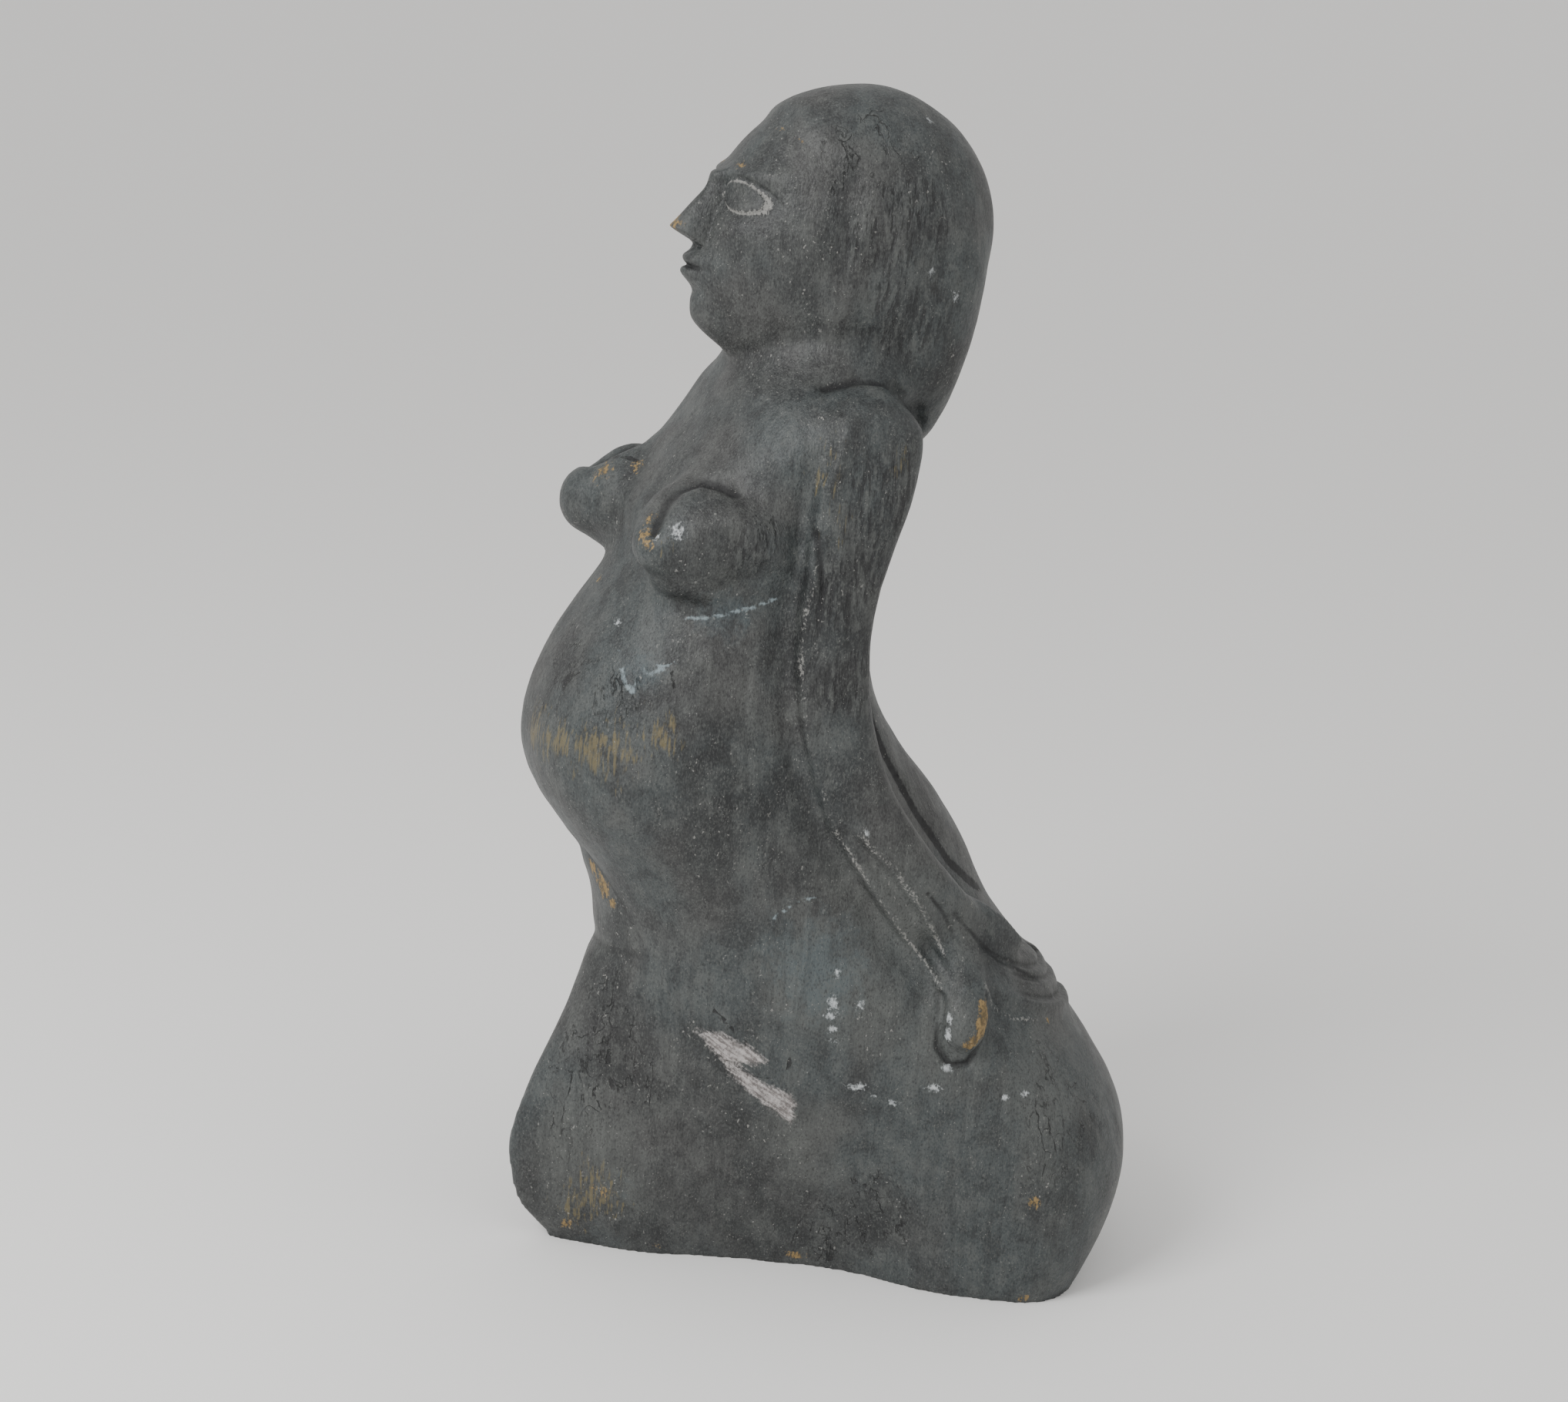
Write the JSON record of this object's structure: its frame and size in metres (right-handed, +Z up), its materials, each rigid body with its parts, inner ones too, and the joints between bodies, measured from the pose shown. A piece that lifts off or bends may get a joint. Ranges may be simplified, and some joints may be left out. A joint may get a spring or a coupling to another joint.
{
  "type": "figurine",
  "caption": "Carved dark wooden figure of a pregnant woman kneeling upright on her own flat-cut base, hands laid back on her hips, head tipped back, hair falling down her nape",
  "frame": {"origin": "centre of the bounding box at the level of the flat underside", "axes": "+Z up along the figure's height, which is its longest extent; -Y is the way her face, belly and knees point; +X is her left side"},
  "size_m": [0.1111, 0.1418, 0.2599],
  "materials": {
    "dark_stained_wood": "dark grey stain, hand-rubbed to a low satin, worn to bare ochre wood on the high points"
  },
  "bodies": {
    "root": {"figure": "dark_stained_wood"}
  },
  "joints": []
}
